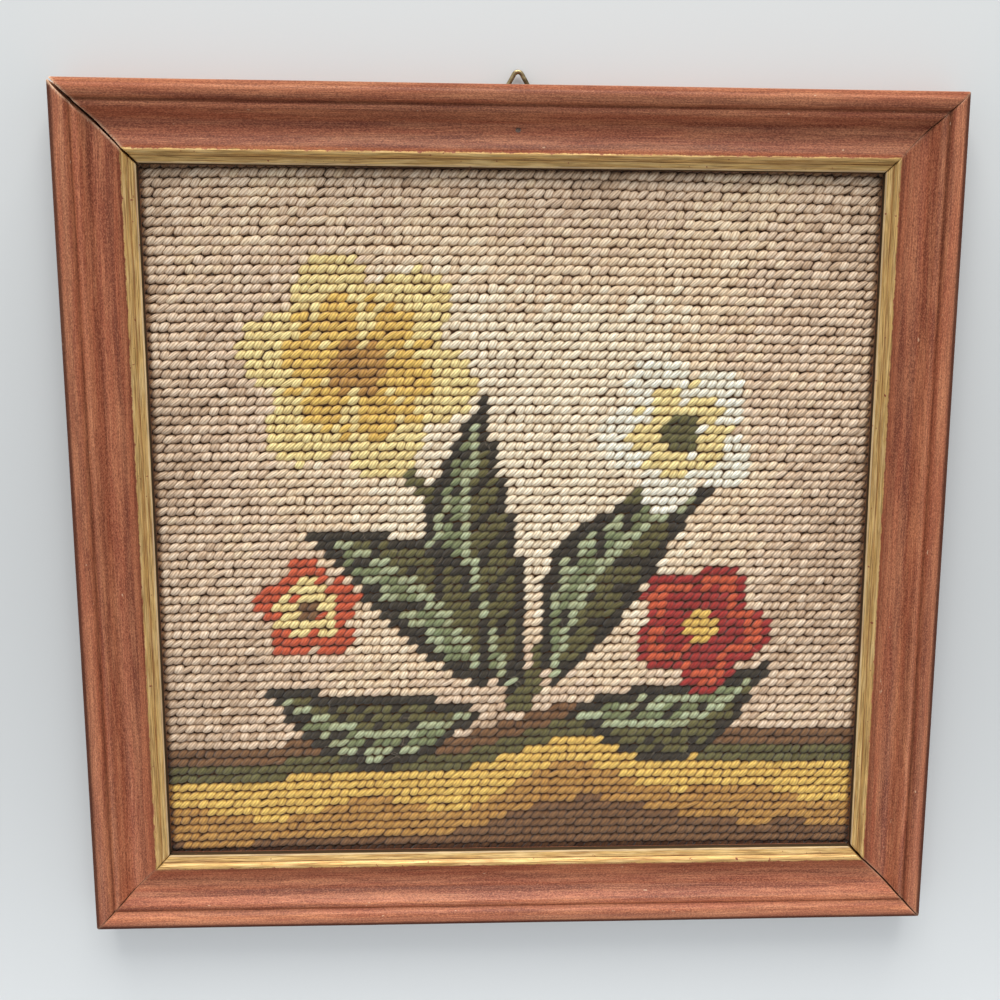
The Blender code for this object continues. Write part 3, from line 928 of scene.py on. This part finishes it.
def stitchShape(values):
    # one plump stitch with blunt ends: share along (-1 to 1) for each ring, and angle round it for each side;
    # the girth is the square root of one less a high power of the share along
    rings, sides = values["rings"], values["sides"]
    along = np.sin(np.linspace(-1, 1, rings) * math.pi / 2 * values["reach"])
    girth = (1 - np.abs(along) ** values["blunt"]) ** 0.5
    angle = np.arange(sides) * 2 * math.pi / sides
    along = np.concatenate([[-1], np.repeat(along, sides), [1]])
    girth = np.concatenate([[0], np.repeat(girth, sides), [0]])
    angle = np.concatenate([[0], np.tile(angle, rings), [0]])
    return along, girth, angle


def stitchFaces(values):
    # two fans of triangles at the tips, and quads between the rings
    rings, sides = values["rings"], values["sides"]
    around = np.arange(sides)
    first = np.stack([np.zeros(sides, int), 1 + (around + 1) % sides, 1 + around], 1)
    last = 1 + (rings - 1) * sides
    tip = 1 + rings * sides
    final = np.stack([np.full(sides, tip), last + around, last + (around + 1) % sides], 1)
    return np.concatenate([first, final]), ringFaces(rings, sides) + 1


def stitchPoints(column, row, values, spreads, cloth, random):
    # every stitch at once: (stitch, point, xyz) in millimetres, with each point's height above the canvas;
    # a point is the stitch's place, plus its share along the slant, plus its place round the ring
    count = len(column)
    along, girth, angle = stitchShape(values)
    x = (column - (values["columns"] - 1) / 2) * values["pitchX"]
    y = (row - (values["rows"] - 1) / 2) * values["pitchY"]
    y = y + values["arch"] * (0.55 - (x / cloth["halfWidth"]) ** 2)
    x = x + random.normal(0, spreads["x"], count)
    y = y + random.normal(0, spreads["y"], count)
    slant = np.radians(values["slant"] + random.normal(0, values["slantSpread"], count))
    height = values["height"] * (1 + random.normal(0, spreads["height"], count))
    width = values["width"] * (1 + random.normal(0, spreads["width"], count))
    deep = values["thickness"] * (1 + random.normal(0, spreads["thickness"], count))
    lift = random.normal(0, spreads["lift"], count)
    # each ring stands level across the row, so that neighbours lie side by side like the strands of a rope
    reach = along * height[:, None] / 2
    side = girth * np.cos(angle) * width[:, None] / 2
    up = girth * np.sin(angle) * deep[:, None] / 2
    pointX = x[:, None] + reach / np.tan(slant)[:, None] + side
    pointY = y[:, None] + reach - values["lean"] * side
    dive = values["dive"] * np.abs(along) ** 3
    press = 1 - values["press"] * (1 - between(edgeDistance(x, y, cloth), (-1.0, 2.0)))
    base = cloth["bottom"] + cloth["thickness"]
    body = (values["crest"] + lift[:, None] - values["thickness"] / 2 - base + up - dive) * press[:, None]
    rise = clothHeight(pointX, pointY, cloth)
    pointZ = np.maximum(base + body, cloth["bottom"] + values["lowest"]) + rise
    return np.stack([pointX, pointY + centreY, pointZ], -1), body


def stitchUv(values):
    # along the stitch, and once round it, for each corner of each face, in stitchFaces order
    rings, sides = values["rings"], values["sides"]
    around = np.arange(sides)
    left, right = around / sides, (around + 1) / sides
    middle = (around + 0.5) / sides
    start = np.full(sides, 1 / (rings + 1))
    end = np.full(sides, rings / (rings + 1))
    first = np.stack([np.zeros(sides), middle, start, right, start, left], 1)
    final = np.stack([np.ones(sides), middle, end, left, end, right], 1)
    ring, left = np.meshgrid(np.arange(rings - 1), left, indexing="ij")
    low, high = (ring + 1) / (rings + 1), (ring + 2) / (rings + 1)
    right = left + 1 / sides
    quads = np.stack([low, left, low, right, high, right, high, left], -1).reshape(-1, 8)
    return np.concatenate([first, final]), quads


def makePlyGroup():
    # twisted plies: a power of a raised cosine round the yarn, which turns as it goes along, with loose
    # fibres over it
    tree, given, wanted = newGroup(
        "pliedYarn",
        {"Vector": "Vector", "Plies": ("Float", 9.0), "Twist": ("Float", 0.5)},
        {"Height": "Float", "Groove": "Float", "Fibre": "Float"},
    )
    parts = addNode(tree, "SeparateXYZ", {0: given["Vector"]}).outputs
    turn = maths(tree, "MULTIPLY", parts[1], given["Plies"])
    turn = maths(tree, "ADD", turn, maths(tree, "MULTIPLY", parts[0], given["Twist"]))
    wave = maths(tree, "COSINE", maths(tree, "MULTIPLY", turn, 2 * math.pi))
    height = maths(tree, "POWER", maths(tree, "MULTIPLY_ADD", wave, 0.5, 0.5), 0.6)
    tree.links.new(height, wanted["Height"])
    tree.links.new(remap(tree, height, 0.55, 0.05), wanted["Groove"])
    fibre = noise(tree, given["Vector"], (3.0, 42.0, 1.0), 2.0, 0.6)
    tree.links.new(fibre, wanted["Fibre"])
    return tree


plyGroup = makePlyGroup()


def yarnMaterial(name, colour):
    # matt wool: plied ridges, with painted shade down between the plies and the stitches and beside the sight
    # edge, each stitch its own tone
    constants = {"Sheen Weight": 0.25, "Sheen Roughness": 0.6, "Specular IOR Level": 0.25}
    material, tree, shader = newMaterial(name, 0.9, constants)
    yarn = addNode(tree, "UVMap", uv_map="yarn").outputs[0]
    toneAndEdgeShade = addNode(tree, "Attribute", attribute_name="toneAndEdgeShade").outputs["Fac"]
    depth = addNode(tree, "Attribute", attribute_name="depth").outputs["Fac"]
    plies = placeGroup(tree, plyGroup, {"Vector": yarn})
    place = addNode(tree, "TexCoord").outputs["Object"]
    heather = noise(tree, place, 900.0, 2.0)
    base = linearColour(*colour)
    level = maths(tree, "ADD", maths(tree, "MULTIPLY", toneAndEdgeShade, 0.26), 0.87)
    level = maths(tree, "MULTIPLY", level, remap(tree, heather, 0.3, 0.7, 0.90, 1.10))
    # painted shade down in the grooves between the plies
    level = maths(tree, "MULTIPLY", level, remap(tree, plies["Groove"], 0.0, 1.0, 1.06, 0.62))
    level = maths(tree, "MULTIPLY", level, remap(tree, plies["Fibre"], 0.3, 0.7, 0.84, 1.12))
    # painted shade low between the stitches, from how high each point stands
    level = maths(tree, "MULTIPLY", level, remap(tree, depth, 0.05, 0.62, 0.42, 1.05))
    # the painted shade is tinted warmer as well as darker
    warm, cool = maths(tree, "POWER", level, 0.7), maths(tree, "POWER", level, 1.35)
    shade = addNode(tree, "CombineColor", {0: warm, 1: level, 2: cool}).outputs[0]
    tree.links.new(blend(tree, 1.0, base, shade, "MULTIPLY"), shader.inputs["Base Color"])
    relief = maths(tree, "ADD", plies["Height"], maths(tree, "MULTIPLY", plies["Fibre"], 0.35))
    addBump(tree, shader, 0.9, 0.00022, relief)
    return material


def buildStitches(values, spreads, cloth, colours):
    names = chartYarns(values)
    triangles, quads = stitchFaces(values)
    triangleUv, quadUv = stitchUv(values)
    perStitch = 2 + values["rings"] * values["sides"]
    pieces = []
    for index, (name, colour) in enumerate(colours.items()):
        column, row = np.nonzero(names == name)
        if len(column) == 0:  # a yarn that the chart doesn't use
            continue
        random = np.random.default_rng(values["seed"] * 100 + index)
        points, body = stitchPoints(column, row, values, spreads, cloth, random)
        count = len(column)
        starts = (np.arange(count) * perStitch)[:, None, None]
        faces = [(triangles + starts).reshape(-1, 3), (quads + starts).reshape(-1, 4)]
        mesh = buildMesh("stitches_" + name, points.reshape(-1, 3) * mm, faces)
        offset = random.uniform(0, 1, (count, 1, 1, 2)) * (7.0, 1.0)
        uvs = [triangleUv.reshape(-1, 3, 2), quadUv.reshape(-1, 4, 2)]
        corners = [(uv + offset).reshape(-1) for uv in uvs]
        layer = mesh.uv_layers.new(name="yarn")
        layer.uv.foreach_set("vector", np.concatenate(corners).astype(np.float32))
        toneAndEdgeShade = np.repeat(random.beta(2.2, 2.2, count), perStitch)
        # wool beside the sight edge lies pressed down, and its tone is lowered there as painted shade under
        # the frame's lip
        inside = edgeDistance(points[..., 0], points[..., 1] - centreY, cloth).ravel()
        toneAndEdgeShade = toneAndEdgeShade - values["edgeShade"] * (1 - between(inside, (-0.2, 1.4)))
        pointAttribute(mesh, "toneAndEdgeShade", toneAndEdgeShade)
        # how high each point stands, for the painted shade low between the stitches
        pointAttribute(mesh, "depth", np.clip(body.reshape(-1) / values["fullHeight"], 0, 1))
        material = yarnMaterial("wool_" + name, colour)
        pieces.append(addPiece("stitches_" + name, mesh, material))
        print("stitches:", name, count)
    return pieces


fuzzValues = {  # millimetres
    "count": 700,
    "halfWidth": 121,
    "halfHeight": 117,
    "length": (1.5, 5.5),
    "arch": (0.2, 0.7),
    "base": 5.75,
    "radius": 0.028,
    "steps": 5,
    "seed": 77,
    "dark": (150, 128, 104),
    "light": (216, 200, 176),
}


def buildFuzz(values, cloth):
    # loose wool fibres: thin three-sided tubes along arched, curling paths over the stitches
    random = np.random.default_rng(values["seed"])
    count, steps = values["count"], values["steps"]
    x = random.uniform(-1, 1, count) * values["halfWidth"]
    y = random.uniform(-1, 1, count) * values["halfHeight"]
    heading = random.uniform(0, 2 * math.pi, count)
    curl = random.normal(0, 1.0, count)
    length = random.uniform(*values["length"], count)
    share = np.linspace(0, 1, steps)
    angle = heading[:, None] + curl[:, None] * share
    step = length[:, None] / (steps - 1)
    pathX = x[:, None] + np.cumsum(np.cos(angle) * step, 1)
    pathY = y[:, None] + np.cumsum(np.sin(angle) * step, 1)
    arch = random.uniform(*values["arch"], count)[:, None] * np.sin(share * math.pi)
    pathZ = values["base"] + clothHeight(pathX, pathY, cloth) + arch
    path = np.stack([pathX, pathY + centreY, pathZ], -1)
    around = np.arange(3) * 2 * math.pi / 3
    taper = np.maximum(0.3, np.sin(share * math.pi) ** 0.4)[None, :, None, None]
    sideways = np.stack([-np.sin(angle), np.cos(angle), np.zeros(angle.shape)], -1)
    ring = sideways[:, :, None] * np.cos(around)[None, None, :, None]
    ring = ring + np.array([0, 0, 1.0]) * np.sin(around)[None, None, :, None]
    points = path[:, :, None] + ring * values["radius"] * taper
    starts = (np.arange(count) * steps * 3)[:, None, None]
    caps = np.array([[2, 1, 0], [0, 1, 2]]) + np.array([[0], [(steps - 1) * 3]])
    faces = [(caps + starts).reshape(-1, 3), (ringFaces(steps, 3) + starts).reshape(-1, 4)]
    mesh = buildMesh("woolFuzz", points.reshape(-1, 3) * mm, faces)
    material, tree, shader = newMaterial("woolFibre", 0.9)
    shade = noise(tree, addNode(tree, "TexCoord").outputs["Object"], 60.0, 1.0)
    twoTone(tree, shader, remap(tree, shade, 0.35, 0.65), values)
    return addPiece("woolFuzz", mesh, material)


points, faces = canvasSurface(canvasValues)
canvas = addPiece(
    "canvasSheet",
    buildMesh("canvasSheet", points * mm, faces, canvasValues["smoothAngle"]),
    canvasMaterial("canvasThreads", canvasValues, (stitchValues["pitchX"], stitchValues["pitchY"])),
)
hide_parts("needlepoint")
stitches = buildStitches(stitchValues, stitchSpreads, canvasValues, yarnColours)
fuzz = buildFuzz(fuzzValues, canvasValues)
print("needlepoint stitched")

# Backing board

boardValues = {
    "dark": (84, 58, 38),
    "light": (132, 98, 66),
}


def boardMaterial(name, values):
    # pressed fibreboard: fine flecks over a slow mottle
    material, tree, shader = newMaterial(name, 0.85)
    place = addNode(tree, "TexCoord").outputs["Object"]
    fleck = noise(tree, stretched(tree, place, (1.0, 0.6, 1.0)), 900.0)
    mottle = noise(tree, place, 35.0)
    share = maths(tree, "MULTIPLY_ADD", fleck, 0.7, maths(tree, "MULTIPLY", mottle, 0.4))
    twoTone(tree, shader, remap(tree, share, 0.35, 0.75), values)
    addBump(tree, shader, 0.5, 0.0002, fleck)
    return material


def dress(node, material):
    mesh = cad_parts[node].data
    mesh.materials.clear()
    mesh.materials.append(material)


dress("backing_board", boardMaterial("fibreboard", boardValues))

# Hanger

hangerValues = {  # millimetres
    "x": railValues["hangerX"],
    "topEdge": centreY + railValues["frameHeight"] / 2,
    "wireRadius": 0.75,
    "cornerRadius": 1.5,
    "reach": 7.0,
    "barInset": 5.5,
    "height": 2.15,
    "cornerSteps": 14,
    "legSteps": 10,
    "sides": 14,
}
brassColours = {
    "bright": (166, 148, 110),
    "dull": (88, 74, 52),
    "dark": (46, 38, 27),
}
steelColours = {
    "bright": (176, 172, 164),
    "dull": (128, 122, 114),
    "dark": (70, 62, 54),
}


def metalMaterial(name, colours, roughness):
    # aged metal: bright where rubbed, brown in patches, with fine dark spots
    material, tree, shader = newMaterial(name, roughness, {"Metallic": 0.9})
    bright, dull, dark = [linearColour(*colours[key]) for key in ("bright", "dull", "dark")]
    place = addNode(tree, "TexCoord").outputs["Object"]
    patches = noise(tree, place, 420.0, 4.0, 0.6)
    fine = noise(tree, place, 2400.0, 2.0)
    colour = blend(tree, remap(tree, patches, 0.38, 0.60), dull, bright)
    colour = blend(tree, remap(tree, fine, 0.60, 0.70, 0.0, 0.6), colour, dark)
    tree.links.new(colour, shader.inputs["Base Color"])
    rough = remap(tree, patches, 0.35, 0.65, roughness + 0.15, roughness - 0.05)
    tree.links.new(rough, shader.inputs["Roughness"])
    addBump(tree, shader, 0.3, 0.00005, fine)
    return material


def loopPath(values):
    # a triangle with three round corners, walked anticlockwise from the right of its top corner
    radius = values["cornerRadius"]
    apexY = values["topEdge"] + values["reach"] - values["wireRadius"]
    barY = values["topEdge"] - values["barInset"]
    spread = (apexY - barY - 2 * radius) / math.sqrt(3)
    centres = [
        (values["x"], apexY - radius, 30),
        (values["x"] - spread, barY + radius, 150),
        (values["x"] + spread, barY + radius, 270),
    ]
    corners = [arcPoints(x, y, radius, start, start + 120, values["cornerSteps"]) for x, y, start in centres]
    parts = []
    for corner, following in zip(corners, corners[1:] + corners[:1]):
        parts += [corner, straight(corner[-1], following[0], values["legSteps"])]
    return np.concatenate(parts)


def wireLoop(values):
    # a ring of points round the wire at each step of the closed path, square to the chord between neighbours
    path = loopPath(values)
    ahead = np.roll(path, -1, 0) - np.roll(path, 1, 0)
    ahead = ahead / np.linalg.norm(ahead, axis=1, keepdims=True)
    outward = np.stack([ahead[:, 1], -ahead[:, 0]], 1)
    angle = np.arange(values["sides"]) * 2 * math.pi / values["sides"]
    flat = np.cos(angle)[None, :, None] * outward[:, None]
    points = np.zeros((len(path), values["sides"], 3))
    points[:, :, :2] = path[:, None] + flat * values["wireRadius"]
    points[:, :, 2] = values["height"] + np.sin(angle) * values["wireRadius"]
    faces = ringFaces(len(path) + 1, values["sides"]) % (len(path) * values["sides"])
    return points.reshape(-1, 3), [faces]


points, faces = wireLoop(hangerValues)
wire = addPiece(
    "wireLoop",
    buildMesh("wireLoop", points * mm, faces),
    metalMaterial("agedBrassWire", brassColours, 0.34),
)
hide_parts("hanger_loop")
dress("hanger_strap", metalMaterial("agedBrassStrap", brassColours, 0.42))
dress("hanger_screw", metalMaterial("screwSteel", steelColours, 0.38))
print("hanger made")

# Floor and light

stageValues = {
    "floor": (211, 215, 218),
    "size": 3.0,  # half the floor's width, in metres
    "world": (0.97, 0.99, 1.0),
    "worldStrength": 0.55,
}
lampTable = [  # place, aim, width and height in metres, watts, spread in degrees, colour
    {
        "name": "lowWindowLight",
        "place": (0.0, 1.24, 0.19),
        "aim": (0.0, 0.0, 0.0),
        "size": (1.0, 0.32),
        "watts": 13.0,
        "spread": 180.0,
        "colour": (1.0, 0.97, 0.92),
    },
    {
        "name": "highWindowLight",
        "place": (0.0, 1.02, 0.72),
        "aim": (0.0, 0.0, 0.0),
        "size": (1.0, 0.5),
        "watts": 9.0,
        "spread": 180.0,
        "colour": (1.0, 0.97, 0.92),
    },
    {
        "name": "lowerFloorLight",
        "place": (0.0, -0.39, 0.50),
        "aim": (0.0, -0.39, 0.0),
        "size": (1.6, 0.3),
        "watts": 1.5,
        "spread": 66.0,
        "colour": (1.0, 0.99, 0.98),
    },
]


def makeStage(values, lamps):
    size = values["size"]
    points = np.array([[-1, -1, 0], [1, -1, 0], [1, 1, 0], [-1, 1, 0]]) * (size, size, 0)
    mesh = buildMesh("floor", points, [np.array([[0, 1, 2, 3]])])
    colour = {"Base Color": linearColour(*values["floor"])}
    mesh.materials.append(newMaterial("paleFloor", 0.75, colour)[0])
    floor = bpy.data.objects.new("floor", mesh)
    scene.collection.objects.link(floor)
    world = bpy.data.worlds.new("softWorld")
    scene.world = world
    world.use_nodes = True
    sky = world.node_tree.nodes["Background"]
    sky.inputs["Color"].default_value = (*values["world"], 1.0)
    sky.inputs["Strength"].default_value = values["worldStrength"]
    for lamp in lamps:
        data = bpy.data.lights.new(lamp["name"], "AREA")
        data.shape = "RECTANGLE"
        data.size, data.size_y = lamp["size"]
        data.energy = lamp["watts"]
        data.spread = math.radians(lamp["spread"])
        data.color = lamp["colour"]
        item = bpy.data.objects.new(lamp["name"], data)
        scene.collection.objects.link(item)
        item.location = lamp["place"]
        aim = Vector(lamp["aim"]) - Vector(lamp["place"])
        item.rotation_euler = aim.to_track_quat("-Z", "Y").to_euler()


makeStage(stageValues, lampTable)
print("stage set")
